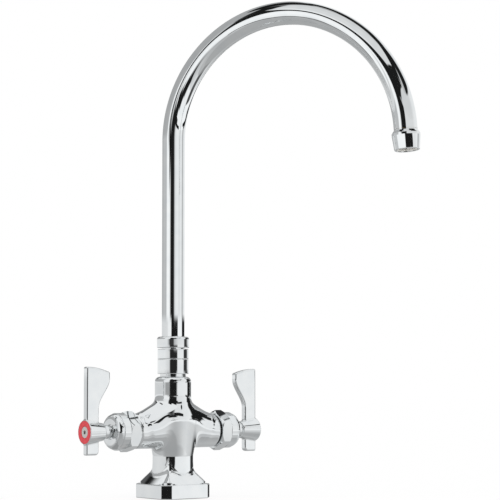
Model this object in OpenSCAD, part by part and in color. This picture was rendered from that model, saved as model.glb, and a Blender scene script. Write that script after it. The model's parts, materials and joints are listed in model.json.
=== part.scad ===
// Deck-mounted two-handle pantry faucet with a swivelling gooseneck spout.
// z = 0 is the deck, the valve axis runs along x and the front faces -y.
// Threads are plain cylinders at their major size, a hair apart from each other.

/* [Base and stem] */
// Side of the square base
base_side = 50; // [49:0.5:54]
// Height of the base's upright sides
base_h = 12; // [10:0.5:14]
// Leg of the chamfers on the base's corners
base_chamfer = 6.8; // [5:0.2:8]
// Radius in which the base's slope turns up into the round stem
sweep_round = 10.6; // [8:0.2:10.6]
// Diameter of the stem at its waist
stem_d = 34; // [32:0.5:36]
// Diameter of the barrel between the arms
barrel_d = 36; // [35:0.5:38]
// Diameter of the neck under the spout
neck_d = 30.6; // [29:0.2:33]
// Height of the crease where the neck meets the shoulders
neck_foot = 80; // [79:0.5:82]
// Height of the top of the neck
neck_top = 101.6; // [100:0.2:104]
// Height of the valve axis above the deck
valve_h = 56; // [56:0.5:57]

/* [Arms and valves] */
// Diameter of each arm
arm_d = 28.8; // [28:0.2:30]
// Distance from the middle of the body to the end of each arm
arm_reach = 41; // [41:0.5:42]
// Width of the bonnet's hexagon across its flats
hex_flats = 30; // [29:0.5:31.5]
// Length of the bonnet's hexagon
hex_len = 9.7; // [9:0.1:10]
// How far one hexagon corner sits above the front on the hot side, degrees
hot_hex_turn = 12; // [0:1:30]
// How far one hexagon corner sits above the front on the cold side, degrees
cold_hex_turn = 0; // [0:1:30]
// Diameter of the bonnet's drum
drum_d = 30.8; // [30:0.2:31.4]
// Length of the drum
drum_len = 6.5; // [6:0.1:7]
// Length of the domed front of the bonnet
dome_len = 5; // [4:0.1:5.5]
// Diameter of the cartridge in the body
cartridge_d = 20; // [19.6:0.1:20.1]
// Diameter of the ceramic discs
disc_d = 16.6; // [16:0.1:16.8]
// Thickness of each ceramic disc
disc_t = 3; // [2.6:0.1:3]
// Diameter of the valve stem
stem_shaft_d = 9; // [8.6:0.1:9]

/* [Handles] */
// Gap between each bonnet and the ring behind the hub
handle_gap = 2.5; // [0.8:0.1:4]
// Diameter of the hub at its outer face
hub_big_d = 20; // [19.6:0.2:22]
// Diameter of the hub at its inner end
hub_small_d = 14.4; // [13:0.2:16]
// Length of the tapered hub
hub_len = 17; // [16:0.5:17.5]
// Diameter of the ring between hub and bonnet
hub_ring_d = 11.2; // [10.4:0.2:12.4]
// Length of the ring between hub and bonnet
hub_ring_len = 5; // [4.6:0.1:5.4]
// Height of the blade above the valve axis
blade_up = 53; // [48:0.5:60]
// Length of the blade below the valve axis
blade_down = 18.7; // [15:0.5:24]
// Width of the blade at its widest
blade_w = 22.5; // [19:0.5:23]
// Width of the blade beside the hub
blade_waist = 11.8; // [11:0.2:13]
// Thickness of the blade
blade_t = 6; // [5:0.2:7]
// Drop of the blade's curved top edge
blade_slope = 3.5; // [2:0.5:5]
// Diameter of the coloured index ring
index_d = 18.8; // [18:0.1:18.8]

/* [Spout] */
// Outside diameter of the spout tube
tube_d = 19.05; // [18.9:0.05:19.1]
// Wall of the spout tube
tube_wall = 1; // [0.9:0.05:1.1]
// Height at which the straight riser ends
riser_top = 301.6; // [220:0.2:360]
// Centre-line radius of the first bend
bend_r1 = 101.8; // [90:0.1:120]
// Angle of the first bend
bend_a1 = 47.6; // [40:0.1:55]
// Centre-line radius of the second bend
bend_r2 = 97.6; // [88:0.1:120]
// Angle of the second bend
bend_a2 = 66.2; // [60:0.1:70]
// Centre-line radius of the third bend
bend_r3 = 110.5; // [95:0.1:130]
// Angle of the third bend
bend_a3 = 62.2; // [55:0.1:66]
// Straight end of the tube after the bends
tip_len = 2.2; // [1:0.1:4]
// Turn of the spout from the front towards the cold side, degrees
spout_swing = 30; // [0:1:180]

/* [Spout joint] */
// Diameter of the swivel adapter and of the nut above it
nut_d = 26.2; // [25.6:0.1:27]
// Height of the adapter's collar
adapter_collar = 12.2; // [11.6:0.1:12.6]
// Height of the spout nut
nut_h = 8.3; // [8.3:0.1:8.6]
// Diameter of the trim collar on the tube
collar_d = 27.2; // [26.4:0.1:28]
// Height of the trim collar
collar_h = 9.5; // [8:0.1:12]
// Diameter of the ferrule that turns in the adapter
ferrule_d = 16.7; // [16.4:0.05:16.9]

/* [Outlet] */
// Diameter of the aerator shell at its widest
shell_d = 23; // [22.6:0.1:24]
// Diameter of the aerator shell at its mouth
mouth_d = 20.4; // [20:0.1:21]
// Length of the aerator shell
shell_len = 15.4; // [14:0.1:18]
// Holes in one ring of the aerator screen
screen_holes = 12; // [8:1:16]

/* [Mounting] */
// Outside diameter of the threaded shank
shank_d = 28.6; // [28:0.1:28.8]
// Diameter of the bore through the shank
shank_bore_d = 24; // [23.4:0.1:24]
// Length of the shank below the deck
shank_len = 50; // [48:1:70]
// Depth of the deck that the nut is set for
deck_t = 28; // [20:1:28]
// Diameter of the tapped holes for the supply hoses
inlet_d = 9.2; // [9:0.1:9.4]
// Spacing of the two hose holes
inlet_spacing = 12; // [11.6:0.1:12.4]

/* [Hidden] */
$fn = 72;

// Clearances
thread_gap = 0.05;
run_gap = 0.05;
cut = 1;

// Valve stack, as distances from the middle of the body
seat_at = 19;
seal_t = 1.6;
cart_start = seat_at + seal_t;
cart_floor_gap = 0.2;
fixed_at = cart_start + cart_floor_gap;
moving_at = fixed_at + disc_t + run_gap;
drive_at = moving_at + disc_t + 0.05;
drive_t = 2.4;
cavity_end = drive_at + drive_t + 0.4;
flange_at = arm_reach - 12;
flange_t = 2.5;
cart_end = arm_reach + 4;
washer_t = 0.8;
hex_at = arm_reach + washer_t;
drum_at = hex_at + hex_len;
dome_at = drum_at + drum_len;
bonnet_end = dome_at + dome_len;
hub_ring_at = bonnet_end + handle_gap;
hub_at = hub_ring_at + hub_ring_len;
handle_reach = hub_at + hub_len;
stem_end = hub_at + 3.5;
stem_neck_r = 4;
spline_r = 3.6;
screw_r = 2.4;
head_r = 4.6;
index_t = 1.8;
head_t = 3.6;
cavity_r = cartridge_d/2 + 0.1;
bonnet_thread_r = 12;
bonnet_hollow_r = 9.6;
bonnet_recess_r = 7.4;
bonnet_recess_t = 1.2;
cart_collar_r = cartridge_d/2 - 1.5;
drive_r = 7.4;
fixed_port_offset = 4;
fixed_port_r = 2.4;
moving_port_offset = 5.2;
moving_port_r = 2.2;
seal_way_r = 5;
window_w = 7;
window_len = 3;
stem_grooves = [flange_at + 3, flange_at + 8];
stem_groove_w = 1.8;
stem_groove_r = 3.2;
stem_ring_r = 0.63;

// Body
sweep_flat_r = 13.2;
sweep_corner_r = 16.6;
sweep_corner_inset = 0.3;
neck_round = 4.2;
arm_rim = 2.5;
shoulder_reach = arm_reach - 7;
shoulder_at = valve_h + 12.7;
shoulder_drop = 12.1;
shoulder_r1 = 18.3;
shoulder_r2 = 13.4;
web_r = 27;
web_foot = valve_h - arm_d/2 - 10.6;
web_h = 13;
stem_top = web_foot + 4;
stem_flare = 7;
supply_r = 3.2;
inlet_foot = 9;
inlet_len = 14;
outlet_way_len = 15;
outlet_way_r = 4.2;
mixed_lift = 11.5;
mixed_len = 50;
mixed_r = 3.5;
rising_way_r = 7;
gasket_r = 21.4;
gasket_w = 3.8;
gasket_t = 1.5;
gasket_gap = 0.1;
socket_depth = 10;

// Clamp under the deck
clamp_r = 17.4;
clamp_bore_r = shank_d/2 + 0.2;
rubber_t = 3;
steel_t = 1.6;
clamp_foot = -deck_t - rubber_t - steel_t;
lock_nut_flats = 36;
lock_nut_h = 8;
lock_nut_bevel = 1.7;

// Spout joint, as heights above the deck
undercut = 2.3;
adapter_at = neck_top + undercut;
nut_at = adapter_at + adapter_collar + 0.4;
nut_top = nut_at + nut_h;
lip_t = 1.6;
upper_washer_t = 0.8;
flange_top = nut_top - lip_t - upper_washer_t - 0.3;
spout_flange_t = 1.3;
flange_foot = flange_top - spout_flange_t;
lower_washer_t = 0.9;
adapter_top = flange_foot - 0.3 - lower_washer_t;
collar_at = nut_top + 1;
ferrule_foot = adapter_at - 5;
tube_r = tube_d/2;
tube_bore_r = tube_r - tube_wall;
adapter_bore_r = ferrule_d/2 + run_gap;
adapter_thread_r = 9.8;
adapter_thread_len = 14;
adapter_neck_r = 11;
adapter_way_r = 6.6;
adapter_foot_gap = 0.6;
cup_r = 11.2;
edge = 0.4;
seal_z = neck_top - 7;
seal_mid_r = 9;
seal_ring_r = 0.8;
ferrule_plug = 14;
ferrule_flange_r = 10.6;
ferrule_way_r = 5.6;
ferrule_grooves = [ferrule_foot + 5, ferrule_foot + 12];
ferrule_groove_w = 2;
ferrule_groove_r = 6.9;
ferrule_ring_r = 0.71;

// Spout path in its own upright plane, as [distance out, height, degrees turned]
path_1 = [bend_r1*(1 - cos(bend_a1)), riser_top + bend_r1*sin(bend_a1), bend_a1];
turn_2 = bend_a1 + bend_a2;
path_2 = [path_1[0] + bend_r2*(cos(bend_a1) - cos(turn_2)),
    path_1[1] + bend_r2*(sin(turn_2) - sin(bend_a1)), turn_2];
turn_3 = turn_2 + bend_a3;
path_3 = [path_2[0] + bend_r3*(cos(turn_2) - cos(turn_3)),
    path_2[1] + bend_r3*(sin(turn_3) - sin(turn_2)), turn_3];

// Outlet, as distances along the tube from the end of the last bend
shell_at = tip_len + 1.2;
shell_end = shell_at + shell_len;
shell_thread_r = 9.6;
spigot_len = 4;
spigot_r = tube_bore_r - 0.15;
outlet_lip_t = 2;
outlet_lip_r = tube_r - 0.5;
outlet_end = shell_end - 8.2;
outlet_bore_r = 7;
aerator_gasket_at = outlet_end + 0.1;
aerator_gasket_t = 1.5;
insert_at = aerator_gasket_at + aerator_gasket_t + 0.1;
insert_floor = 1.5;
insert_r = 8.4;
insert_bore_r = 7.2;
jet_r = 1;
screen_t = 0.6;
screen_hole_r = 0.8;

// Puts children on the valve axis with local z pointing out of the hot or the cold side.
module on_valve_axis(hot) {
    translate([0, 0, valve_h]) mirror([hot ? 1 : 0, 0, 0]) rotate([0, 90, 0]) children();
}

// Puts children in the spout's upright plane, with x pointing out along the spout.
module in_spout_plane() {
    rotate([0, 0, spout_swing - 90]) children();
}

// Puts children at the end of the last bend with local z pointing the way the water leaves.
module at_tip() {
    in_spout_plane() translate([path_3[0], 0, path_3[1]]) rotate([0, path_3[2], 0]) children();
}

// A round ring from one height to another.
module ring(z1, z2, r_out, r_in) {
    difference() {
        translate([0, 0, z1]) cylinder(r = r_out, h = z2 - z1);
        translate([0, 0, z1 - cut]) cylinder(r = r_in, h = z2 - z1 + 2*cut);
    }
}

// A round bar from one height to another.
module bar(z1, z2, r) {
    translate([0, 0, z1]) cylinder(r = r, h = z2 - z1);
}

// A round bar with its two edges broken.
module edged_bar(z, r, h) {
    translate([0, 0, z]) rotate_extrude($fn = 96)
        polygon([[0, 0], [r - edge, 0], [r, edge], [r, h - edge], [r - edge, h], [0, h]]);
}

// A rubber ring of round section.
module o_ring(z, r_mid, r_section) {
    translate([0, 0, z]) rotate_extrude() translate([r_mid, 0]) circle(r = r_section, $fn = 32);
}

// A square with its corners cut off.
module chamfered_square(side, leg) {
    h = side/2;
    c = h - leg;
    polygon([[h, -c], [h, c], [c, h], [-c, h], [-h, c], [-h, -c], [-c, -h], [c, -h]]);
}

// Outline of the sweep seen square on: a slope of 45 degrees that turns up into the stem.
module sweep_outline(half_foot, half_top) {
    round_x = half_top + sweep_round;
    round_z = base_h + half_foot - half_top + (sqrt(2) - 1)*sweep_round;
    lean = sweep_round/sqrt(2);
    difference() {
        translate([-half_foot, base_h - cut]) square([2*half_foot, round_z - base_h + cut]);
        for (side = [0, 1]) mirror([side, 0]) {
            translate([round_x, round_z]) circle(r = sweep_round, $fn = 128);
            polygon([[half_foot, base_h], [half_foot + cut, base_h], [half_foot + cut, round_z + cut],
                [round_x, round_z + cut], [round_x - lean, round_z - lean]]);
        }
    }
}

// Upright slab of the sweep outline, thicker than the base is wide.
module sweep_slab(half_foot, half_top) {
    rotate([90, 0, 0]) translate([0, 0, -base_side]) linear_extrude(2*base_side)
        sweep_outline(half_foot, half_top);
}

// Four-sided sweep with ridges at its corners.
module base_sweep() {
    half = base_side/2 - 0.5;
    corner = (2*half - base_chamfer)/sqrt(2) - sweep_corner_inset;
    intersection() {
        sweep_slab(half, sweep_flat_r);
        rotate([0, 0, 90]) sweep_slab(half, sweep_flat_r);
        rotate([0, 0, 45]) sweep_slab(corner, sweep_corner_r);
        rotate([0, 0, -45]) sweep_slab(corner, sweep_corner_r);
    }
}

// Round stem, barrel and neck in one turned profile.
module turned_column() {
    r_stem = stem_d/2;
    r_barrel = barrel_d/2;
    r_neck = neck_d/2;
    rotate_extrude($fn = 96) union() {
        polygon([[0, base_h - cut], [r_stem, base_h - cut], [r_stem, stem_top],
            [r_barrel, stem_top + stem_flare], [r_barrel, neck_foot - 5], [r_neck, neck_foot],
            [r_neck, neck_top - neck_round], [r_neck - neck_round, neck_top], [0, neck_top]]);
        translate([r_neck - neck_round, neck_top - neck_round]) circle(r = neck_round, $fn = 48);
    }
}

// One arm with a rounded rim at its end.
module arm(hot) {
    r = arm_d/2;
    on_valve_axis(hot) rotate_extrude($fn = 96) union() {
        square([r - arm_rim, arm_reach]);
        square([r, arm_reach - arm_rim]);
        translate([r - arm_rim, arm_reach - arm_rim]) circle(r = arm_rim, $fn = 48);
    }
}

// Sloping shoulders from the neck down to the tops of the arms.
module shoulders() {
    tilt = atan(shoulder_drop/shoulder_reach);
    for (side = [0, 1])
        mirror([side, 0, 0]) translate([0, 0, shoulder_at]) rotate([0, 90 + tilt, 0])
            cylinder(r1 = shoulder_r1, r2 = shoulder_r2, h = shoulder_reach, $fn = 96);
}

// Webs that carry the undersides of the arms into the stem.
module under_webs() {
    intersection() {
        translate([0, 0, web_foot]) cylinder(r1 = stem_d/2, r2 = web_r, h = web_h);
        translate([0, 0, valve_h - 4]) rotate([0, 90, 0])
            cylinder(r = arm_d/2, h = 2*arm_reach - 2, center = true);
    }
}

// Waterways of one valve: seat cavity, bonnet thread, supply and mixed-water passages.
module valve_waterway(hot) {
    on_valve_axis(hot) union() {
        bar(seat_at, flange_at + cut, cavity_r);
        bar(flange_at, arm_reach + cut, bonnet_thread_r + thread_gap);
        bar(seat_at - outlet_way_len, seat_at + cut, outlet_way_r);
    }
    x = (hot ? -1 : 1)*inlet_spacing/2;
    translate([x, 0, inlet_foot]) cylinder(r = supply_r, h = valve_h - inlet_foot);
    translate([x, 0, inlet_foot]) cylinder(r = inlet_d/2, h = inlet_len);
}

module faucet_body() {
    color("lightgray") difference() {
        union() {
            linear_extrude(base_h) chamfered_square(base_side, base_chamfer);
            base_sweep();
            turned_column();
            arm(true);
            arm(false);
            shoulders();
            under_webs();
        }
        valve_waterway(true);
        valve_waterway(false);
        // mixed-water passage across the tops of the two cartridges
        translate([0, 0, valve_h + mixed_lift]) rotate([0, 90, 0])
            cylinder(r = mixed_r, h = mixed_len, center = true);
        // waterway up to the swivel adapter, and its thread
        bar(valve_h + 8, neck_top - adapter_thread_len, rising_way_r);
        bar(neck_top - adapter_thread_len - cut, neck_top + cut, adapter_thread_r + thread_gap);
        // socket for the shank, and the groove for the deck gasket
        bar(-cut, socket_depth, shank_d/2 + thread_gap);
        ring(-cut, gasket_t + gasket_gap, gasket_r + gasket_gap, gasket_r - gasket_w - gasket_gap);
    }
}

module deck_gasket() {
    color("black") ring(0, gasket_t, gasket_r, gasket_r - gasket_w);
}

module mounting_shank() {
    color("goldenrod") ring(-shank_len, socket_depth - 0.1, shank_d/2, shank_bore_d/2);
}

module rubber_washer() {
    color("black") ring(clamp_foot + steel_t, -deck_t, clamp_r, clamp_bore_r);
}

module steel_washer() {
    color("silver") ring(clamp_foot, clamp_foot + steel_t, clamp_r, clamp_bore_r);
}

module lock_nut() {
    foot = clamp_foot - lock_nut_h;
    corner_r = lock_nut_flats/2/cos(30);
    color("goldenrod") difference() {
        intersection() {
            translate([0, 0, foot]) cylinder(r = corner_r, h = lock_nut_h, $fn = 6);
            translate([0, 0, foot]) rotate_extrude($fn = 72)
                polygon([[0, 0], [lock_nut_flats/2, 0], [corner_r + 0.2, lock_nut_bevel],
                    [corner_r + 0.2, lock_nut_h], [0, lock_nut_h]]);
        }
        bar(foot - cut, clamp_foot + cut, shank_d/2 + thread_gap);
    }
}

module swivel_adapter() {
    color("lightgray") difference() {
        union() {
            bar(neck_top - adapter_thread_len, neck_top + cut, adapter_thread_r);
            bar(neck_top, adapter_at + cut, adapter_neck_r);
            edged_bar(adapter_at, nut_d/2, adapter_collar);
            bar(adapter_at, adapter_top, cup_r);
        }
        bar(neck_top - adapter_thread_len - cut, ferrule_foot, adapter_way_r);
        bar(ferrule_foot - adapter_foot_gap, adapter_top + cut, adapter_bore_r);
        ring(seal_z - seal_ring_r - 0.1, seal_z + seal_ring_r + 0.1, adapter_thread_r + cut,
            seal_mid_r - seal_ring_r - 0.05);
    }
}

module adapter_seal() {
    color("black") o_ring(seal_z, seal_mid_r, seal_ring_r);
}

module lower_glide_washer() {
    color("white") ring(adapter_top, adapter_top + lower_washer_t, cup_r - 0.3, ferrule_d/2 + 0.4);
}

module upper_glide_washer() {
    lip_foot = nut_top - lip_t;
    color("white") ring(lip_foot - upper_washer_t, lip_foot, cup_r - 0.1, tube_r + 0.35);
}

module spout_nut() {
    color("lightgray") difference() {
        edged_bar(nut_at, nut_d/2, nut_h);
        bar(nut_at - cut, nut_top - lip_t, cup_r + thread_gap);
        bar(nut_top - lip_t - cut, nut_top + cut, tube_r + 0.08);
    }
}

// One hollow bend of the tube from a point of the path, with extra degrees at both ends.
module bend(start, r_bend, a_bend, extra, more_wall) {
    translate([start[0], 0, start[1]]) rotate([0, start[2], 0]) translate([r_bend, 0, 0])
        rotate([90, 0, 0]) rotate([0, 0, 180 - a_bend - extra])
        rotate_extrude(angle = a_bend + 2*extra, $fn = 180)
        translate([r_bend, 0]) difference() {
            circle(r = tube_r + more_wall);
            circle(r = tube_bore_r - more_wall);
        }
}

// The bends that more_wall thickens by a hair take in the ends of the lengths between them.
module gooseneck_tube() {
    more_wall = 0.02;
    overlap = 0.3;
    color("lightgray") in_spout_plane() union() {
        ring(flange_top, riser_top + overlap, tube_r, tube_bore_r);
        bend([0, riser_top, 0], bend_r1, bend_a1, 0, more_wall);
        bend(path_1, bend_r2, bend_a2, 0.2, 0);
        bend(path_2, bend_r3, bend_a3, 0, more_wall);
        translate([path_3[0], 0, path_3[1]]) rotate([0, path_3[2], 0])
            ring(-overlap, tip_len, tube_r, tube_bore_r);
    }
}

module spout_ferrule() {
    color("goldenrod") difference() {
        union() {
            bar(ferrule_foot, flange_foot + 0.5, ferrule_d/2);
            bar(flange_foot, flange_top, ferrule_flange_r);
            bar(flange_top - 0.5, flange_top + ferrule_plug, tube_bore_r - 0.02);
        }
        bar(ferrule_foot - cut, flange_top + ferrule_plug + cut, ferrule_way_r);
        for (z = ferrule_grooves)
            ring(z, z + ferrule_groove_w, ferrule_d/2 + cut, ferrule_groove_r);
    }
}

module spout_o_rings() {
    color("black") for (z = ferrule_grooves)
        o_ring(z + ferrule_groove_w/2, ferrule_groove_r + ferrule_ring_r + 0.02, ferrule_ring_r);
}

module trim_collar() {
    r = collar_d/2;
    round_r = 2.2;
    color("lightgray") difference() {
        translate([0, 0, collar_at]) rotate_extrude($fn = 96) union() {
            polygon([[0, 0], [r - edge, 0], [r, edge], [r, collar_h - round_r],
                [r - round_r, collar_h], [0, collar_h]]);
            translate([r - round_r, collar_h - round_r]) circle(r = round_r, $fn = 48);
        }
        bar(collar_at - cut, collar_at + collar_h + cut, tube_r);
    }
}

module outlet_adapter() {
    color("goldenrod") at_tip() difference() {
        union() {
            bar(-spigot_len, tip_len, spigot_r);
            bar(tip_len, tip_len + outlet_lip_t, outlet_lip_r);
            bar(tip_len + outlet_lip_t - 0.1, outlet_end, shell_thread_r);
        }
        bar(-spigot_len - cut, outlet_end + cut, outlet_bore_r);
    }
}

module aerator_shell() {
    r_wide = shell_d/2;
    r_mouth = mouth_d/2;
    color("lightgray") at_tip() difference() {
        translate([0, 0, shell_at]) rotate_extrude($fn = 96) polygon([[0, 0], [tube_r + 0.6, 0],
            [r_wide - 0.3, 1.6], [r_wide, 2.2], [r_wide, 4], [r_mouth, shell_len - 0.5],
            [r_mouth - 0.5, shell_len], [0, shell_len]]);
        bar(shell_at - cut, shell_at + 1.2, shell_thread_r + 0.3);
        bar(shell_at + 0.8, shell_end - 2, shell_thread_r + thread_gap);
        bar(shell_end - 3, shell_end + cut, insert_r + 0.2);
    }
}

module aerator_gasket() {
    color("black") at_tip() ring(aerator_gasket_at, aerator_gasket_at + aerator_gasket_t,
        shell_thread_r - 0.1, outlet_bore_r);
}

module aerator_insert() {
    color("whitesmoke") at_tip() difference() {
        union() {
            bar(insert_at, insert_at + 1.2, shell_thread_r - 0.1);
            bar(insert_at, shell_end - 1.2, insert_r);
        }
        bar(insert_at + insert_floor, shell_end, insert_bore_r);
        bar(insert_at - cut, insert_at + 2*insert_floor, jet_r);
        for (turn = [0 : 45 : 315])
            rotate([0, 0, turn]) translate([5, 0, 0])
                bar(insert_at - cut, insert_at + 2*insert_floor, jet_r);
    }
}

module aerator_screen() {
    z = shell_end - 2.2;
    color("silver") at_tip() difference() {
        bar(z, z + screen_t, insert_bore_r - 0.05);
        bar(z - cut, z + screen_t + cut, screen_hole_r);
        for (i = [0 : screen_holes - 1])
            rotate([0, 0, 360*i/screen_holes]) translate([5.4, 0, 0])
                bar(z - cut, z + screen_t + cut, screen_hole_r);
        for (turn = [0 : 60 : 300])
            rotate([0, 0, turn]) translate([2.8, 0, 0])
                bar(z - cut, z + screen_t + cut, screen_hole_r);
    }
}

// Bonnet: thread, chamfered hexagon, drum and domed front, hollow for the cartridge and stem.
module bonnet(hot) {
    corner_r = hex_flats/2/cos(30);
    turn = hot ? hot_hex_turn : cold_hex_turn;
    r_drum = drum_d/2;
    r_dome = r_drum - 0.7;
    back_bevel = 2.1;
    front_bevel = 1.6;
    on_valve_axis(hot) difference() {
        union() {
            bar(flange_at + flange_t, hex_at + cut, bonnet_thread_r);
            intersection() {
                rotate([0, 0, 30 - turn]) translate([0, 0, hex_at])
                    cylinder(r = corner_r, h = hex_len + cut, $fn = 6);
                translate([0, 0, hex_at]) rotate_extrude($fn = 96)
                    polygon([[0, 0], [corner_r - back_bevel, 0], [corner_r, back_bevel],
                        [corner_r, hex_len - front_bevel], [corner_r - front_bevel, hex_len],
                        [0, hex_len]]);
            }
            bar(drum_at - cut, dome_at, r_drum);
            translate([0, 0, dome_at]) rotate_extrude($fn = 96) union() {
                square([r_dome - dome_len, dome_len]);
                intersection() {
                    translate([r_dome - dome_len, 0]) circle(r = dome_len, $fn = 96);
                    square([r_dome, dome_len]);
                }
            }
        }
        bar(flange_at, cart_end + 0.4, cart_collar_r + 0.1);
        bar(cart_end, dome_at - 1, bonnet_hollow_r);
        bar(dome_at - 2, bonnet_end + cut, stem_neck_r + 0.35);
        bar(bonnet_end - bonnet_recess_t, bonnet_end + cut, bonnet_recess_r);
    }
}

module bonnet_washer(hot) {
    on_valve_axis(hot) ring(arm_reach, hex_at, bonnet_thread_r + 0.9, bonnet_thread_r + 0.1);
}

// Ceramic cartridge: flanged sleeve with a disc chamber, side windows and a bearing for the stem.
module cartridge(hot) {
    on_valve_axis(hot) difference() {
        union() {
            bar(cart_start, flange_at + 0.5, cartridge_d/2);
            bar(flange_at + 0.02, flange_at + flange_t, bonnet_thread_r - 0.1);
            bar(flange_at, cart_end, cart_collar_r);
        }
        bar(cart_start - cut, cavity_end, disc_d/2 + 0.08);
        bar(cart_start, cart_end + cut, stem_shaft_d/2 + run_gap);
        // side windows for the mixed water
        translate([0, 0, moving_at + window_len/2 + 0.1])
            cube([2*cartridge_d, window_w, window_len], center = true);
    }
}

module fixed_disc(hot) {
    on_valve_axis(hot) difference() {
        bar(fixed_at, fixed_at + disc_t, disc_d/2);
        for (side = [-1, 1])
            translate([0, side*fixed_port_offset, 0])
                bar(fixed_at - cut, fixed_at + disc_t + cut, fixed_port_r);
    }
}

module moving_disc(hot) {
    on_valve_axis(hot) difference() {
        bar(moving_at, moving_at + disc_t, disc_d/2);
        for (side = [-1, 1])
            translate([side*moving_port_offset, 0, 0])
                bar(moving_at - cut, moving_at + disc_t + cut, moving_port_r);
    }
}

module seat_seal(hot) {
    on_valve_axis(hot) ring(seat_at + 0.02, cart_start - 0.02, cavity_r - 0.3, seal_way_r);
}

// Stem: drive plate on the moving disc, bearing part with two grooves, and the end in the handle.
module valve_stem(hot) {
    on_valve_axis(hot) difference() {
        union() {
            bar(drive_at, drive_at + drive_t, drive_r);
            bar(drive_at, cart_end + 1, stem_shaft_d/2);
            bar(cart_end, bonnet_end + 2, stem_neck_r);
            bar(bonnet_end + 1, stem_end, spline_r);
        }
        for (z = stem_grooves)
            ring(z, z + stem_groove_w, stem_shaft_d/2 + cut, stem_groove_r);
        bar(stem_end - 12, stem_end + cut, screw_r + thread_gap);
    }
}

module stem_o_rings(hot) {
    on_valve_axis(hot) for (z = stem_grooves)
        o_ring(z + stem_groove_w/2, stem_groove_r + stem_ring_r + 0.03, stem_ring_r);
}

// Outline of the blade, as distance from the body's middle and height above the valve axis.
module blade_outline() {
    outer = handle_reach - 0.5;
    waist = outer - blade_waist;
    inner = outer - blade_w;
    outer_r = 1.2;
    inner_r = 2;
    bend_top = blade_up - 9.5;
    bend_h = 24;
    top_w = blade_w - inner_r - outer_r;
    polygon(concat(
        [for (a = [0 : 15 : 90]) [outer - outer_r*(1 - cos(a)), blade_up - outer_r*(1 - sin(a))]],
        [for (i = [1 : 8]) let(u = i/8) [outer - outer_r - top_w*u, blade_up - blade_slope*u*u]],
        [for (a = [110 : 20 : 170]) [inner + inner_r*(1 + cos(a)),
            blade_up - blade_slope - inner_r*(1 - sin(a))]],
        [for (i = [0 : 20]) let(u = i/20) [inner + (waist - inner)*u*u*(3 - 2*u), bend_top - bend_h*u]],
        [for (a = [180 : 15 : 270]) [waist + 3 + 3*cos(a), -blade_down + 3 + 3*sin(a)]],
        [for (a = [270 : 30 : 360]) [outer - 1 + cos(a), -blade_down + 1 + sin(a)]]));
}

// Handle: upright blade, tapered hub and the ring behind it, bored for stem, screw and index ring.
module handle(hot) {
    r_big = hub_big_d/2;
    difference() {
        union() {
            translate([0, 0, valve_h]) mirror([hot ? 1 : 0, 0, 0]) rotate([90, 0, 0])
                translate([0, 0, -blade_t/2]) linear_extrude(blade_t) blade_outline();
            on_valve_axis(hot) union() {
                translate([0, 0, hub_at]) cylinder(r1 = hub_small_d/2, r2 = r_big, h = hub_len - 0.8);
                translate([0, 0, handle_reach - 0.81]) cylinder(r1 = r_big, r2 = r_big - 0.4, h = 0.81);
                bar(hub_ring_at, hub_at + cut, hub_ring_d/2);
            }
        }
        on_valve_axis(hot) union() {
            bar(hub_ring_at - cut, stem_end + 0.5, spline_r + 0.04);
            bar(stem_end, handle_reach, screw_r + 0.2);
            bar(handle_reach - index_t - head_t, handle_reach + cut, head_r + 0.15);
            bar(handle_reach - index_t, handle_reach + cut, index_d/2 + 0.05);
        }
    }
}

module index_ring(hot) {
    on_valve_axis(hot) ring(handle_reach - index_t, handle_reach - 0.05, index_d/2, head_r + 0.15);
}

module handle_screw(hot) {
    head_at = handle_reach - index_t - head_t;
    on_valve_axis(hot) difference() {
        union() {
            bar(stem_end - 10, head_at + cut, screw_r);
            bar(head_at, handle_reach - 0.3, head_r);
        }
        translate([0, 0, handle_reach - 2.8]) cylinder(d = 3/cos(30), h = 4, $fn = 6);
    }
}

module hot_bonnet() { color("lightgray") bonnet(true); }
module hot_cartridge() { color("goldenrod") cartridge(true); }
module hot_fixed_disc() { color("white") fixed_disc(true); }
module hot_seat_seal() { color("black") seat_seal(true); }
module hot_bonnet_washer() { color("black") bonnet_washer(true); }
module hot_handle() { color("lightgray") handle(true); }
module hot_index_ring() { color("crimson") index_ring(true); }
module hot_handle_screw() { color("lightgray") handle_screw(true); }
module hot_stem() { color("goldenrod") valve_stem(true); }
module hot_moving_disc() { color("white") moving_disc(true); }
module hot_stem_o_rings() { color("black") stem_o_rings(true); }
module cold_bonnet() { color("lightgray") bonnet(false); }
module cold_cartridge() { color("goldenrod") cartridge(false); }
module cold_fixed_disc() { color("white") fixed_disc(false); }
module cold_seat_seal() { color("black") seat_seal(false); }
module cold_bonnet_washer() { color("black") bonnet_washer(false); }
module cold_handle() { color("lightgray") handle(false); }
module cold_index_ring() { color("royalblue") index_ring(false); }
module cold_handle_screw() { color("lightgray") handle_screw(false); }
module cold_stem() { color("goldenrod") valve_stem(false); }
module cold_moving_disc() { color("white") moving_disc(false); }
module cold_stem_o_rings() { color("black") stem_o_rings(false); }

faucet_body();
deck_gasket();
mounting_shank();
rubber_washer();
steel_washer();
lock_nut();
swivel_adapter();
adapter_seal();
lower_glide_washer();
upper_glide_washer();
spout_nut();
gooseneck_tube();
spout_ferrule();
spout_o_rings();
trim_collar();
outlet_adapter();
aerator_shell();
aerator_gasket();
aerator_insert();
aerator_screen();
hot_bonnet();
hot_cartridge();
hot_fixed_disc();
hot_seat_seal();
hot_bonnet_washer();
hot_handle();
hot_index_ring();
hot_handle_screw();
hot_stem();
hot_moving_disc();
hot_stem_o_rings();
cold_bonnet();
cold_cartridge();
cold_fixed_disc();
cold_seat_seal();
cold_bonnet_washer();
cold_handle();
cold_index_ring();
cold_handle_screw();
cold_stem();
cold_moving_disc();
cold_stem_o_rings();
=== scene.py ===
"""A chrome pantry faucet on a white table between light sheets, seen from the photograph's side."""
import json
import math

import bmesh
import bpy
import numpy as np
from mathutils import Matrix, Vector


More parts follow.
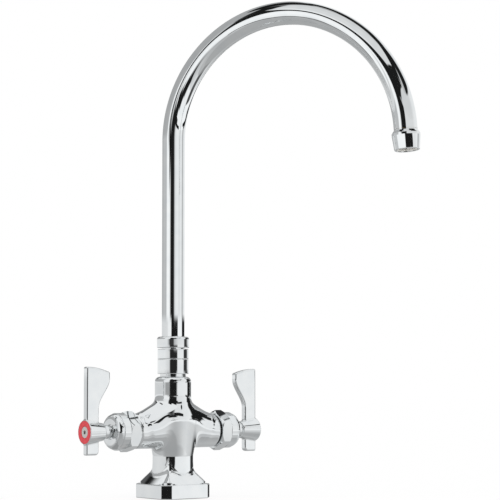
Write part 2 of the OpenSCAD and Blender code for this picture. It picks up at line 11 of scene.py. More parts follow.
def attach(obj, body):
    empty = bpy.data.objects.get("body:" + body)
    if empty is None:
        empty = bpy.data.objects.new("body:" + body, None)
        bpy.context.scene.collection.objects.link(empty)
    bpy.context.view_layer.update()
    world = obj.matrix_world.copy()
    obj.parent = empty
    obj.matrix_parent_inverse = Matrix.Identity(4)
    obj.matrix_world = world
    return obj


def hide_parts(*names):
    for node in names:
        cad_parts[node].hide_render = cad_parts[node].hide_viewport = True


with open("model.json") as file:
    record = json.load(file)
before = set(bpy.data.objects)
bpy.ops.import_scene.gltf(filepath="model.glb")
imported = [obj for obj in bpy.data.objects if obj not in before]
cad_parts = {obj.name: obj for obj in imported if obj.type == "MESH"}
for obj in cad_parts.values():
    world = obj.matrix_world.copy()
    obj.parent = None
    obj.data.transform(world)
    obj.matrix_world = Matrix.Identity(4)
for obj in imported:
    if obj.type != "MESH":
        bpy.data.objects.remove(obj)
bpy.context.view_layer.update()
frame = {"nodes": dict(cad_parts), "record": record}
NODES = frame["nodes"]

# Sizes in millimetres, as in the part's source: heights from the deck, distances out from the middle
MM = 0.001
VALVE_H = 56

# Base and the sweep above it
BASE_SIDE = 50
BASE_H = 12
BASE_CHAMFER = 6.8
BASE_EDGE = 0.8
SIDE_BOW = 0.0035
SWEEP_ROUND = 10.6
SWEEP_FLAT = 13.2
SWEEP_CORNER = 16.6
SWEEP_SINK = 0.25
SWEEP_MIDDLE = 25.9
SWEEP_HALF = 14.7
RIDGE_ROUND = 1.4
BODY_VOXEL = 0.65

# Stem, belly and neck
STEM_R = 17
BELLY_FOOT = 35.3
BELLY_TOP = 64
BELLY_LIFT_MAX = 1.2
BELLY_SWELL = 5.2
BELLY_CURVE = 1.9
BELLY_END = 79
BELLY_TAPER = 0.45
NECK_R = 15.3
NECK_TOP = 101.6
NECK_ROUND = 4.2

# Arms and shoulders, and the fillets of the casting
ARM_R = 14.4
ARM_REACH = 41
ARM_RIM = 2.5
SHOULDER_AT = VALVE_H + 12.7
SHOULDER_LEN = 34
SHOULDER_DROP = 12.1
SHOULDER_LEAN = math.atan(SHOULDER_DROP / SHOULDER_LEN)
SHOULDER_R = (18.3, 13.4)
SHOULDER_RIM = 2
SHOULDER_CREST = 4
WIDE_FILLET = 6
SMALL_FILLET = 2

# Bores of the body: for the valves' seals and bonnets, the water, the adapter, the shank and the gasket
SEAL_WAY_R = 10.1
SEAL_WAY_AT = 19
BONNET_WAY_R = 12.05
BONNET_WAY_AT = 29
WATER_WAY_R = 7
WATER_WAY_FOOT = 40
NECK_BORE_R = 9.85
NECK_BORE_AT = 86.6
SHANK_SOCKET_R = 14.35
SHANK_SOCKET_TOP = 10
GROOVE_R = (17.5, 21.5)
GROOVE_DEEP = 1.6

# Bonnets, with the turn in degrees that each hexagon is tightened to
BONNET_FOOT = 31.5
BONNET_THREAD_R = 12
BONNET_BORE_R = 11.2
CARTRIDGE_BORE_R = 9.6
CARTRIDGE_BORE_AT = 45
STEM_HOLE_R = 4.35
HEX_AT = ARM_REACH + 0.8
HEX_FLATS = 30
HEX_TURN = {"hot": 12, "cold": -3}
HEX_CHAMFER = (2.1, 1.6)
DRUM_AT = HEX_AT + 9.7
DRUM_R = 15.4
DOME_AT = DRUM_AT + 6.5
DOME_STEP = 0.7
DOME_ROUND = 4.4
BONNET_END = DOME_AT + 5
FACE_R = 6
FACE_DEEP = 1.2

# Handles
HUB_RING_AT = BONNET_END + 2.5
HUB_RING_LEN = 6
HUB_RING_R = 5.6
HUB_RING_EDGE = 0.7
HUB_SKIRT = 3.4
HUB_SKIRT_R = 4.9
HUB_SKIRT_EDGE = 0.3
HUB_AT = HUB_RING_AT + 5
HUB_LEN = 17
HUB_SMALL_R = 7.2
HUB_BIG_R = 10
HUB_EDGE = 0.5
HANDLE_REACH = HUB_AT + HUB_LEN
STEM_BORE_R = 3.64
STEM_BORE_END = 74.5
SCREW_BORE_R = 2.6
BLADE_UP = 53
BLADE_DOWN = 18.7
BLADE_W = 22.5
BLADE_WAIST = 11.8
BLADE_T = 6
BLADE_SLOPE = 3.5
BLADE_EDGE = 1.5
BLADE_INSET = 0.5
BLADE_FILLET = 1.6
RING_FILLET = 0.8
SKIRT_FILLET = 0.4
HANDLE_VOXEL = 0.42
INDEX_R = 9.4
INDEX_T = 1.8
INDEX_EDGE = 0.3
HEAD_R = 4.6
HEAD_T = 3.6

# Spout: each bend is (radius, degrees)
TUBE_R = 9.525
TUBE_WALL = 1
TUBE_FOOT = 122.1
SPOUT_SWING = 30
RISER_TOP = 301.6
BENDS = [(101.8, 47.6), (97.6, 66.2), (110.5, 62.2)]
BEND_STEPS = 56

# Collars at the foot of the spout
COLLAR_R = 13.1
ADAPTER_FOOT = 87.6
ADAPTER_SHOULDER = 103.9
ADAPTER_LEDGE = 116.1
ADAPTER_TOP = 120.5
ADAPTER_PLUG_R = 9.8
ADAPTER_RIM_R = 11
ADAPTER_THREAD_R = 11.2
ADAPTER_BORE_R = 8.4
ADAPTER_WATER_R = 6.6
ADAPTER_FLOOR = 98.3
NUT_FOOT = 116.5
NUT_TOP = 124.8
NUT_BORE_R = 11.25
NUT_HOLE_R = 9.61
NUT_LIP = 1.6
TRIM_FOOT = 125.8
TRIM_TOP = 135.3
TRIM_R = 13.6
TRIM_BORE_R = 9.53

# Shell at the outlet, measured from the end of the last bend
TIP_LEN = 2.2
SHELL_AT = TIP_LEN + 1.2
SHELL_LEN = 15.4
SHELL_SKIRT = 1.1
SHELL_SKIRT_R = (9.25, 9.4)
SHELL_RIM_R = 10.1
SHELL_WIDE_R = 11.5
SHELL_MOUTH_R = 10.2
SHELL_BORE_R = 9.65
SHELL_WATER_R = 8.6

# Facets round turned parts, chamfers, the tube and the bores
TURNED_STEPS = 128
CHAMFER_STEPS = 192
TUBE_STEPS = 96
BORE_STEPS = 96

# Gaps left round fitted parts
FIT_GAP = 0.15
CLOSE_GAP = 0.05


# Shader helpers

def linear(hex_colour):
    """An sRGB hex colour as linear RGBA."""
    parts = [int(hex_colour[i:i + 2], 16) / 255 for i in (1, 3, 5)]
    return tuple(c / 12.92 if c <= 0.04045 else ((c + 0.055) / 1.055) ** 2.4 for c in parts) + (1.0,)


def add(tree, kind, settings=None, inputs=None):
    """Adds one shader node with its settings, and its inputs as values or as other nodes' outputs."""
    made = tree.nodes.new(kind)
    for name, value in (settings or {}).items():
        setattr(made, name, value)
    for name, value in (inputs or {}).items():
        if isinstance(value, bpy.types.NodeSocket):
            tree.links.new(value, made.inputs[name])
        else:
            made.inputs[name].default_value = value
    return made


def ramp(tree, factor, stops):
    """A colour ramp with stops as (position, hex colour or grey level)."""
    made = add(tree, "ShaderNodeValToRGB", {}, {"Fac": factor})
    elements = made.color_ramp.elements
    while len(elements) < len(stops):
        elements.new(0.5)
    for element, (position, colour) in zip(elements, stops):
        element.position = position
        element.color = linear(colour) if isinstance(colour, str) else (colour, colour, colour, 1)
    return made.outputs["Color"]


def surface(name):
    """A new material with its node tree, its Principled node and its object coordinates."""
    made = bpy.data.materials.new(name)
    made.use_nodes = True
    tree = made.node_tree
    return made, tree, tree.nodes["Principled BSDF"], add(tree, "ShaderNodeTexCoord").outputs["Object"]


def bump(tree, shader, height, depth_mm):
    """Raises the surface by depth_mm where height is 1."""
    made = add(tree, "ShaderNodeBump", {}, {"Height": height, "Distance": depth_mm * MM, "Strength": 1.0})
    tree.links.new(made.outputs["Normal"], shader.inputs["Normal"])


def chrome(name, wave_mm, wave_depth, rough_low, rough_high):
    """Bright nickel-chrome plate: mirror-like, with faint waves from the polishing under it."""
    haze_mm = 9
    made, tree, shader, place = surface(name)
    wave = add(tree, "ShaderNodeTexNoise", {}, {"Vector": place, "Scale": 1000 / wave_mm, "Detail": 2.0})
    haze = add(tree, "ShaderNodeTexNoise", {}, {"Vector": place, "Scale": 1000 / haze_mm, "Detail": 4.0})
    tint = ramp(tree, haze.outputs["Fac"], [(0.35, "#F1F3F4"), (0.65, "#F7F8F8")])
    rough = add(tree, "ShaderNodeMapRange", {}, {
        "Value": haze.outputs["Fac"], "From Min": 0.3, "From Max": 0.7,
        "To Min": rough_low, "To Max": rough_high})
    tree.links.new(tint, shader.inputs["Base Color"])
    tree.links.new(rough.outputs["Result"], shader.inputs["Roughness"])
    shader.inputs["Metallic"].default_value = 1.0
    bump(tree, shader, wave.outputs["Fac"], wave_depth)
    return made


def plain(name, low, high, grain_mm, roughness, metallic=0.0, depth_mm=0.0):
    """A plain material whose colour and grain vary a little from place to place."""
    made, tree, shader, place = surface(name)
    grain = add(tree, "ShaderNodeTexNoise", {}, {"Vector": place, "Scale": 1000 / grain_mm, "Detail": 3.0})
    tint = ramp(tree, grain.outputs["Fac"], [(0.3, low), (0.7, high)])
    tree.links.new(tint, shader.inputs["Base Color"])
    shader.inputs["Roughness"].default_value = roughness
    shader.inputs["Metallic"].default_value = metallic
    if depth_mm:
        bump(tree, shader, grain.outputs["Fac"], depth_mm)
    return made


# Materials

# Tube and turned parts: bright plate over buffed brass, almost free of waves
turned_chrome = chrome("bright_chrome_on_turned_brass", 14, 0.002, 0.01, 0.03)
# Body and handles: bright plate over a polished casting, whose faint waves bend the reflections
cast_chrome = chrome("bright_chrome_on_cast_brass", 7, 0.006, 0.02, 0.05)
# Red and blue rings: gloss enamel, smooth, with a soft highlight
red_enamel = plain("gloss_red_enamel", "#CC2A36", "#D73A44", 3, 0.3)
blue_enamel = plain("gloss_blue_enamel", "#1C4FA8", "#2459B4", 3, 0.3)
# Cut brass, unplated, under the chrome parts
machined_brass = plain("machined_brass", "#C79F52", "#D3AE66", 0.8, 0.28, 1.0, 0.002)
# Seals and washers: dull black moulded rubber
moulded_rubber = plain("moulded_black_rubber", "#1B1B1C", "#232324", 0.6, 0.6, 0.0, 0.01)
# Glide washers and the aerator's insert: slightly milky moulded nylon
moulded_nylon = plain("moulded_white_nylon", "#E6E4DC", "#EEECE6", 1.5, 0.42)
# Valve discs: lapped alumina, fine and even
lapped_alumina = plain("lapped_white_alumina", "#EFEDE6", "#F6F4EF", 0.5, 0.2)
# Clamp washer: dull zinc plate with a faint spangle
zinc_plate = plain("zinc_plated_steel", "#B9BCBE", "#C8CBCD", 2, 0.38, 1.0, 0.003)
# Screws and screen: turned stainless, satin
satin_stainless = plain("satin_stainless_steel", "#DAD6D2", "#E6E2DE", 0.5, 0.26, 1.0, 0.002)

BY_SLOT = {
    "chrome": turned_chrome, "brass": machined_brass, "rubber": moulded_rubber,
    "white_nylon": moulded_nylon, "ceramic": lapped_alumina, "zinc_steel": zinc_plate,
    "stainless": satin_stainless, "red_enamel": red_enamel, "blue_enamel": blue_enamel}


def finish_cad_nodes():
    """Gives each CAD node the material of its slot in the record."""
    for row in frame["record"]["subparts"]:
        for slot in NODES[row["node"]].material_slots:
            slot.link = "OBJECT"
            slot.material = BY_SLOT[row["material_slot"]]


# Mesh helpers: a piece is in millimetres until it is made, and the studio's own pieces are in metres

def rounded(points):
    """An open outline of (x, z, corner radius), with its corners as arcs."""
    degrees_each = 12
    outline = []
    for i, (x, z, radius) in enumerate(points):
        here = Vector((x, z))
        if radius == 0 or i in (0, len(points) - 1):
            outline.append(here)
            continue
        back = (Vector(points[i - 1][:2]) - here).normalized()
        ahead = (Vector(points[i + 1][:2]) - here).normalized()
        half = back.angle(ahead) / 2
        centre = here + (back + ahead).normalized() * radius / math.sin(half)
        start = (here + back * radius / math.tan(half) - centre).normalized()
        end = (here + ahead * radius / math.tan(half) - centre).normalized()
        steps = max(3, round(math.degrees(start.angle(end)) / degrees_each))
        outline += [centre + start.slerp(end, k / steps) * radius for k in range(steps + 1)]
    return outline


def turned(points, steps=TURNED_STEPS):
    """A bmesh spun about the z axis from an outline of (radius, height, corner radius)."""
    mesh = bmesh.new()
    verts = [mesh.verts.new((p[0], 0, p[1])) for p in rounded(points)]
    edges = [mesh.edges.new(pair) for pair in zip(verts, verts[1:])]
    bmesh.ops.spin(
        mesh, geom=verts + edges, axis=(0, 0, 1), cent=(0, 0, 0), angle=math.tau, steps=steps,
        use_merge=True)
    return tidied(mesh)


def tidied(mesh):
    """Merges doubled points and turns the faces outward."""
    bmesh.ops.remove_doubles(mesh, verts=mesh.verts, dist=0.0005)
    bmesh.ops.recalc_face_normals(mesh, faces=mesh.faces)
    return mesh


def moved(mesh, matrix):
    """The same bmesh, put in its place by a matrix."""
    bmesh.ops.transform(mesh, matrix=matrix, verts=mesh.verts)
    return mesh


def cone(start, end, r_start, r_end, segments=48):
    """A bmesh of a capped cone between two points."""
    mesh = bmesh.new()
    a = Vector(start)
    b = Vector(end)
    turn = (b - a).to_track_quat("Z", "Y").to_matrix().to_4x4()
    bmesh.ops.create_cone(
        mesh, cap_ends=True, segments=segments, radius1=r_start, radius2=r_end, depth=(b - a).length,
        matrix=Matrix.Translation((a + b) / 2) @ turn)
    return mesh


def as_object(name, mesh):
    """Turns a bmesh into a linked object and frees it."""
    data = bpy.data.meshes.new(name)
    mesh.to_mesh(data)
    mesh.free()
    made = bpy.data.objects.new(name, data)
    bpy.context.scene.collection.objects.link(made)
    return made


def with_modifier(mesh, kind, **settings):
    """A bmesh after one modifier, with any object named in the settings removed."""
    holder = as_object("holder", mesh)
    modifier = holder.modifiers.new("shaping", kind)
    for name, value in settings.items():
        setattr(modifier, name, value)
    bpy.context.view_layer.update()
    evaluated = holder.evaluated_get(bpy.context.evaluated_depsgraph_get())
    shaped = bpy.data.meshes.new_from_object(evaluated)
    result = bmesh.new()
    result.from_mesh(shaped)
    bpy.data.meshes.remove(shaped)
    for used in [holder, settings.get("object")]:
        if used:
            data = used.data
            bpy.data.objects.remove(used)
            bpy.data.meshes.remove(data)
    return result


def boolean(mesh, other, operation):
    """A bmesh after another one is cut out of it or met with it."""
    tool = as_object("tool", other)
    return with_modifier(mesh, "BOOLEAN", operation=operation, solver="EXACT", object=tool)


def joined(*meshes):
    """One bmesh with all the given ones in it."""
    whole = bmesh.new()
    for mesh in meshes:
        data = bpy.data.meshes.new("part")
        mesh.to_mesh(data)
        mesh.free()
        whole.from_mesh(data)
        bpy.data.meshes.remove(data)
    return whole


def piece(name, mesh, material, slot, body, *nodes, smooth=35):
    """Makes a shaded object of a bmesh in millimetres, which takes the place of CAD nodes."""
    bmesh.ops.scale(mesh, vec=(MM, MM, MM), verts=mesh.verts)
    made = as_object(name, mesh)
    made.data.polygons.foreach_set("use_smooth", [True] * len(made.data.polygons))
    made.data.set_sharp_from_angle(angle=math.radians(smooth))
    made.data.materials.clear()
    made.data.materials.append(material)
    large_faces_rule = made.modifiers.new("weighted", "WEIGHTED_NORMAL")
    large_faces_rule.keep_sharp = True
    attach(made, body)
    if nodes:
        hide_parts(*nodes)
    return made


# Smooth castings: a rough shape of cones and boxes is remeshed and laid on a formula's surface

def soft_min(a, b, reach):
    """The lower of two distances, blended where they are within reach of each other."""
    near = np.maximum(reach - np.abs(a - b), 0) / reach
    return np.minimum(a, b) - near ** 3 * reach / 6


def soft_max(a, b, reach):
    """The higher of two distances, blended where they are within reach of each other."""
    return -soft_min(-a, -b, reach)


def corner_distance(across, along, radius):
    """Distance to a rounded corner, from the distances past its two faces."""
    a = across + radius
    b = along + radius
    outside = np.hypot(np.maximum(a, 0), np.maximum(b, 0))
    return outside + np.minimum(np.maximum(a, b), 0) - radius


def lay_on(points, distance, rounds):
    """Moves points onto the surface where distance is zero."""
    step = 0.02
    longest = 2.5
    flattest = 0.05
    for _ in range(rounds):
        value = distance(points)
        slope = np.empty_like(points)
        for axis in range(3):
            shift = np.zeros(3)
            shift[axis] = step
            slope[:, axis] = (distance(points + shift) - distance(points - shift)) / (2 * step)
        size = np.maximum((slope ** 2).sum(axis=1), flattest)
        move = -(value / size)[:, None] * slope
        length = np.linalg.norm(move, axis=1, keepdims=True)
        points = points + move * np.minimum(1, longest / np.maximum(length, 1e-9))
    return points


def cast_mesh(rough, distance, voxel_mm):
    """Remeshes a rough bmesh and lays its points evenly on the formula's surface."""
    passes = 7
    mesh = with_modifier(rough, "REMESH", mode="VOXEL", voxel_size=voxel_mm)
    for done in range(passes):
        if done:
            bmesh.ops.smooth_vert(
                mesh, verts=mesh.verts, factor=0.5, use_axis_x=True, use_axis_y=True, use_axis_z=True)
        points = np.array([v.co for v in mesh.verts])
        points = lay_on(points, distance, 3 if done else 8)
        for vert, point in zip(mesh.verts, points):
            vert.co = point
    return mesh


# Body

def octagon_distance(x, y, half, corner, reach):
    """Distance to a square with cut corners and slightly bowed sides, in plan."""
    flats = soft_max(np.abs(x) + SIDE_BOW * y * y, np.abs(y) + SIDE_BOW * x * x, reach) - half
    corners = (np.abs(x) + np.abs(y)) / math.sqrt(2) - corner
    return soft_max(flats, corners, reach)


def sweep_width(z, foot, top):
    """Half width of the sweep at a height: a 45 degree slope that turns up into the stem."""
    round_z = BASE_H + foot - top + (math.sqrt(2) - 1) * SWEEP_ROUND
    drop = np.clip(round_z - z, 0, SWEEP_ROUND / math.sqrt(2))
    turn_up = top + SWEEP_ROUND - np.sqrt(SWEEP_ROUND ** 2 - drop ** 2)
    slope = np.maximum(round_z - SWEEP_ROUND / math.sqrt(2) - z, 0)
    sink = np.maximum(z - round_z, 0) * SWEEP_SINK
    return turn_up + slope - sink


def shoulder_distance(x, y, z):
    """Distance to the two cones that slope from the neck down to the tops of the arms."""
    out = np.sqrt(x * x + SHOULDER_CREST ** 2)
    lift = z - SHOULDER_AT
    along = out * math.cos(SHOULDER_LEAN) - lift * math.sin(SHOULDER_LEAN)
    across = np.hypot(y, out * math.sin(SHOULDER_LEAN) + lift * math.cos(SHOULDER_LEAN))
    radius = SHOULDER_R[0] + (SHOULDER_R[1] - SHOULDER_R[0]) * along / SHOULDER_LEN
    return corner_distance(across - radius, along - SHOULDER_LEN, SHOULDER_RIM)


def body_distance(p):
    """Distance to the skin of the body above its base block."""
    x, y, z = p[:, 0], p[:, 1], p[:, 2]
    lift = np.clip((z - BELLY_FOOT) / (BELLY_TOP - BELLY_FOOT), 0, BELLY_LIFT_MAX)
    belly = STEM_R + BELLY_SWELL * lift - BELLY_CURVE * lift ** 2
    belly = soft_min(belly, NECK_R + (BELLY_END - z) * BELLY_TAPER, SMALL_FILLET)
    radius = soft_max(belly, np.full(z.shape, NECK_R), SMALL_FILLET)
    column = corner_distance(np.hypot(x, y) - radius, z - NECK_TOP, NECK_ROUND)
    arms = corner_distance(np.hypot(y, z - VALVE_H) - ARM_R, np.abs(x) - ARM_REACH, ARM_RIM)
    upper = soft_min(soft_min(arms, shoulder_distance(x, y, z), WIDE_FILLET), column, WIDE_FILLET)
    foot = BASE_SIDE / 2 - 1
    flat = sweep_width(z, foot, SWEEP_FLAT)
    corner = sweep_width(z, (2 * foot - BASE_CHAMFER) / math.sqrt(2), SWEEP_CORNER)
    # In plan the distance to a slope is longer than the true one
    true_share = 0.8
    sweep = octagon_distance(x, y, flat, corner, RIDGE_ROUND) * true_share
    sweep = np.maximum(sweep, np.abs(z - SWEEP_MIDDLE) - SWEEP_HALF)
    return soft_min(upper, sweep, SMALL_FILLET)


def base_block():
    """Square block with cut corners, its edges softened."""
    block = bmesh.new()
    size = Matrix.Diagonal((BASE_SIDE, BASE_SIDE, BASE_H, 1))
    bmesh.ops.create_cube(block, size=1, matrix=Matrix.Translation((0, 0, BASE_H / 2)) @ size)
    upright = [e for e in block.edges if abs(e.verts[0].co.z - e.verts[1].co.z) > 1]
    bmesh.ops.bevel(
        block, geom=upright, offset=BASE_CHAMFER, offset_type="OFFSET", segments=1, profile=0.5,
        affect="EDGES", material=-1)
    bmesh.ops.bevel(
        block, geom=block.edges[:], offset=BASE_EDGE, offset_type="OFFSET", segments=4, profile=0.5,
        affect="EDGES", material=-1)
    return tidied(block)


def faucet_body():
    """Casting of sweep, stem, arms, shoulders and neck on the base block, with its bores.

    The rough cones only give the remesh something close to the skin, where the points are laid.
    Each bore starts or ends past the skin that it opens.
    """
    rough = joined(
        cone((0, 0, 11), (0, 0, 30), 27, 17), cone((0, 0, 12), (0, 0, 78), STEM_R, STEM_R),
        cone((0, 0, 60), (0, 0, NECK_TOP), NECK_R, NECK_R),
        cone((-ARM_REACH, 0, VALVE_H), (ARM_REACH, 0, VALVE_H), ARM_R, ARM_R),
        cone((0, 0, 62), (34, 0, 57), 18, 13.5), cone((0, 0, 62), (-34, 0, 57), 18, 13.5))
    skin = cast_mesh(rough, body_distance, BODY_VOXEL)
    valve_bore = [
        (0, SEAL_WAY_AT, 0), (SEAL_WAY_R, SEAL_WAY_AT, 0), (SEAL_WAY_R, BONNET_WAY_AT, 0),
        (BONNET_WAY_R, BONNET_WAY_AT, 0), (BONNET_WAY_R, 45, 0), (0, 45, 0)]
    neck_bore = [
        (0, WATER_WAY_FOOT, 0), (WATER_WAY_R, WATER_WAY_FOOT, 0), (WATER_WAY_R, NECK_BORE_AT, 0),
        (NECK_BORE_R, NECK_BORE_AT, 0), (NECK_BORE_R, 110, 0), (0, 110, 0)]
    bores = joined(
        moved(turned(valve_bore, BORE_STEPS), on_valve_axis("hot")),
        moved(turned(valve_bore, BORE_STEPS), on_valve_axis("cold")), turned(neck_bore, BORE_STEPS))
    skin = boolean(skin, bores, "DIFFERENCE")
    socket = [
        (0, -2, 0), (SHANK_SOCKET_R, -2, 0), (SHANK_SOCKET_R, SHANK_SOCKET_TOP, 0),
        (0, SHANK_SOCKET_TOP, 0)]
    near, far = GROOVE_R
    groove = [(near, -2, 0), (far, -2, 0), (far, GROOVE_DEEP, 0), (near, GROOVE_DEEP, 0), (near, -2, 0)]
    hollows = joined(turned(socket, BORE_STEPS), turned(groove, BORE_STEPS))
    block = boolean(base_block(), hollows, "DIFFERENCE")
    whole = joined(skin, block)
    piece("faucet_body_casting", whole, cast_chrome, "chrome", "base", "faucet_body", smooth=40)


# Handles

def on_valve_axis(side):
    """Puts local z on the valve axis, pointing out of the hot or the cold side."""
    turn = -90 if side == "hot" else 90
    return Matrix.Translation((0, 0, VALVE_H)) @ Matrix.Rotation(math.radians(turn), 4, "Y")


def blade_outline():
    """The blade's outline, as distance from the body's middle and height above the valve axis."""
    outer = HANDLE_REACH - BLADE_INSET
    waist = outer - BLADE_WAIST
    inner = outer - BLADE_W
    outer_r = 1.2
    inner_r = 2
    foot_outer_r = 1
    foot_inner_r = 3
    top_w = BLADE_W - outer_r - inner_r
    bend_drop = 9.5
    bend_top = BLADE_UP - bend_drop
    bend_h = 24

    def arc(x, z, radius, angles):
        turns = [math.radians(a) for a in angles]
        return [(x + radius * math.cos(a), z + radius * math.sin(a)) for a in turns]

    points = arc(outer - outer_r, BLADE_UP - outer_r, outer_r, range(0, 91, 15))
    for i in range(1, 9):
        points.append((outer - outer_r - top_w * i / 8, BLADE_UP - BLADE_SLOPE * (i / 8) ** 2))
    points += arc(inner + inner_r, BLADE_UP - BLADE_SLOPE - inner_r, inner_r, range(110, 171, 20))
    for i in range(21):
        u = i / 20
        points.append((inner + (waist - inner) * u * u * (3 - 2 * u), bend_top - bend_h * u))
    points += arc(waist + foot_inner_r, foot_inner_r - BLADE_DOWN, foot_inner_r, range(180, 271, 15))
    points += arc(outer - foot_outer_r, foot_outer_r - BLADE_DOWN, foot_outer_r, range(270, 361, 30))
    return np.array(points)


OUTLINE = blade_outline()


def outline_distance(x, z):
    """Signed distance to the blade's outline, negative inside."""
    best = np.full(x.shape, 1e9)
    inside = np.zeros(x.shape, bool)
    for a, b in zip(OUTLINE, np.roll(OUTLINE, -1, axis=0)):
        edge = b - a
        t = np.clip(((x - a[0]) * edge[0] + (z - a[1]) * edge[1]) / (edge @ edge), 0, 1)
        best = np.minimum(best, np.hypot(x - a[0] - t * edge[0], z - a[1] - t * edge[1]))
        if edge[1]:
            crosses = ((a[1] > z) != (b[1] > z)) & (x < a[0] + (z - a[1]) * edge[0] / edge[1])
            inside ^= crosses
    return np.where(inside, -best, best)


def handle_distance(side):
    """Distance to a handle's skin: blade, tapered hub, the ring behind it and its short skirt."""
    sign = -1 if side == "hot" else 1
    taper = (HUB_BIG_R - HUB_SMALL_R) / HUB_LEN
    overlap = 1

    def distance(p):
        x = p[:, 0] * sign
        y, lift = p[:, 1], p[:, 2] - VALVE_H
        blade = corner_distance(outline_distance(x, lift), np.abs(y) - BLADE_T / 2, BLADE_EDGE)
        around = np.hypot(y, lift)
        hub = (around - HUB_SMALL_R - taper * (x - HUB_AT)) / math.hypot(1, taper)
        hub = corner_distance(hub, np.abs(x - HUB_AT - HUB_LEN / 2) - HUB_LEN / 2 + 0.1, HUB_EDGE)
        ring_ends = np.abs(x - HUB_RING_AT - HUB_RING_LEN / 2) - HUB_RING_LEN / 2
        ring = corner_distance(around - HUB_RING_R, ring_ends, HUB_RING_EDGE)
        skirt_ends = np.abs(x - HUB_RING_AT + HUB_SKIRT / 2 - overlap / 2) - HUB_SKIRT / 2 - overlap / 2
        skirt = corner_distance(around - HUB_SKIRT_R, skirt_ends, HUB_SKIRT_EDGE)
        whole = soft_min(soft_min(blade, hub, BLADE_FILLET), ring, RING_FILLET)
        return soft_min(whole, skirt, SKIRT_FILLET)

    return distance


def handle(side):
    """Blade, hub, ring and skirt in one skin, bored for the stem, the screw and the coloured ring."""
    sign = -1 if side == "hot" else 1

    def rod(start, end, r_start, r_end):
        return cone((sign * start, 0, VALVE_H), (sign * end, 0, VALVE_H), r_start, r_end)

    slab = bmesh.new()
    loop = [slab.verts.new((sign * x, -BLADE_T / 2, VALVE_H + z)) for x, z in OUTLINE]
    made = bmesh.ops.extrude_face_region(slab, geom=[slab.faces.new(loop)])
    far = [v for v in made["geom"] if isinstance(v, bmesh.types.BMVert)]
    bmesh.ops.translate(slab, verts=far, vec=(0, BLADE_T, 0))
    rough = joined(
        tidied(slab), rod(HUB_AT, HANDLE_REACH, HUB_SMALL_R, HUB_BIG_R),
        rod(HUB_RING_AT, HUB_AT + 2, HUB_RING_R, HUB_RING_R),
        rod(HUB_RING_AT - HUB_SKIRT, HUB_AT, HUB_SKIRT_R, HUB_SKIRT_R))
    skin = cast_mesh(rough, handle_distance(side), HANDLE_VOXEL)
    ring_at = HANDLE_REACH - INDEX_T
    head_at = ring_at - HEAD_T
    head_bore = HEAD_R + FIT_GAP
    ring_bore = INDEX_R + CLOSE_GAP
    bore = [
        (0, 60, 0), (STEM_BORE_R, 60, 0), (STEM_BORE_R, STEM_BORE_END, 0), (SCREW_BORE_R, STEM_BORE_END, 0),
        (SCREW_BORE_R, head_at, 0), (head_bore, head_at, 0), (head_bore, ring_at, 0),
        (ring_bore, ring_at, 0), (ring_bore, 90, 0), (0, 90, 0)]
    skin = boolean(skin, moved(turned(bore, BORE_STEPS), on_valve_axis(side)), "DIFFERENCE")
    body = f"{side}_handle"
    piece(f"{side}_blade_handle", skin, cast_chrome, "chrome", body, f"{side}_handle", smooth=50)


def index_ring(side):
    """Coloured ring let into the outer face of the hub."""
    low = HANDLE_REACH - INDEX_T
    high = HANDLE_REACH - CLOSE_GAP
    inner = HEAD_R + FIT_GAP
    ring = turned([
        (inner, low, 0), (INDEX_R, low, 0), (INDEX_R, high, INDEX_EDGE), (inner, high, INDEX_EDGE),
        (inner, low, 0)])
    slot = "red_enamel" if side == "hot" else "blue_enamel"
    ring = moved(ring, on_valve_axis(side))
    piece(f"{side}_enamel_ring", ring, BY_SLOT[slot], slot, f"{side}_handle", f"{side}_index_ring")


def bonnet(side):
    """Hexagon with chamfered ends, drum and domed front, hollow for the stem."""
    dome_r = DRUM_R - DOME_STEP
    face = BONNET_END - FACE_DEEP
    roof = DOME_AT - 2
    shell = turned([
        (BONNET_BORE_R, BONNET_FOOT, 0), (BONNET_THREAD_R, BONNET_FOOT, 0.4), (BONNET_THREAD_R, DRUM_AT, 0),
        (DRUM_R, DRUM_AT, 0.5), (DRUM_R, DOME_AT, 0.4), (dome_r, DOME_AT + 0.1, 0.1),
        (dome_r, BONNET_END, DOME_ROUND), (FACE_R, BONNET_END, 0.4), (FACE_R, face, 0),
        (STEM_HOLE_R, face, 0), (STEM_HOLE_R, roof, 0), (CARTRIDGE_BORE_R, roof, 0),
        (CARTRIDGE_BORE_R, CARTRIDGE_BORE_AT, 0), (BONNET_BORE_R, CARTRIDGE_BORE_AT, 0),
        (BONNET_BORE_R, BONNET_FOOT, 0)])
    corner = HEX_FLATS / 2 / math.cos(math.radians(30))
    turn = Matrix.Rotation(math.radians(30 - HEX_TURN[side]), 4, "Z")
    prism = moved(cone((0, 0, HEX_AT), (0, 0, DRUM_AT), corner, corner, 6), turn)
    cut_in, cut_out = HEX_CHAMFER
    chamfers = turned([
        (0, HEX_AT, 0), (corner - cut_in, HEX_AT, 0), (corner, HEX_AT + cut_in, 0),
        (corner, DRUM_AT - cut_out, 0), (corner - cut_out, DRUM_AT, 0), (0, DRUM_AT, 0)], CHAMFER_STEPS)
    nut = boolean(prism, chamfers, "INTERSECT")
    whole = moved(joined(shell, nut), on_valve_axis(side))
    piece(f"{side}_valve_bonnet", whole, turned_chrome, "chrome", "base", f"{side}_bonnet", smooth=25)


# Spout

def spout_plane():
    """Turns the plane of the gooseneck from +X to where the spout rests."""
    return Matrix.Rotation(math.radians(SPOUT_SWING - 90), 4, "Z")


def spout_path():
    """Points of the path where the bends start and end, as (out, height, degrees turned)."""
    points = [(0.0, RISER_TOP, 0.0)]
    for radius, angle in BENDS:
        out, height, turn = points[-1]
        a = math.radians(turn)
        b = math.radians(turn + angle)
        points.append((
            out + radius * (math.cos(a) - math.cos(b)), height + radius * (math.sin(b) - math.sin(a)),
            turn + angle))
    return points


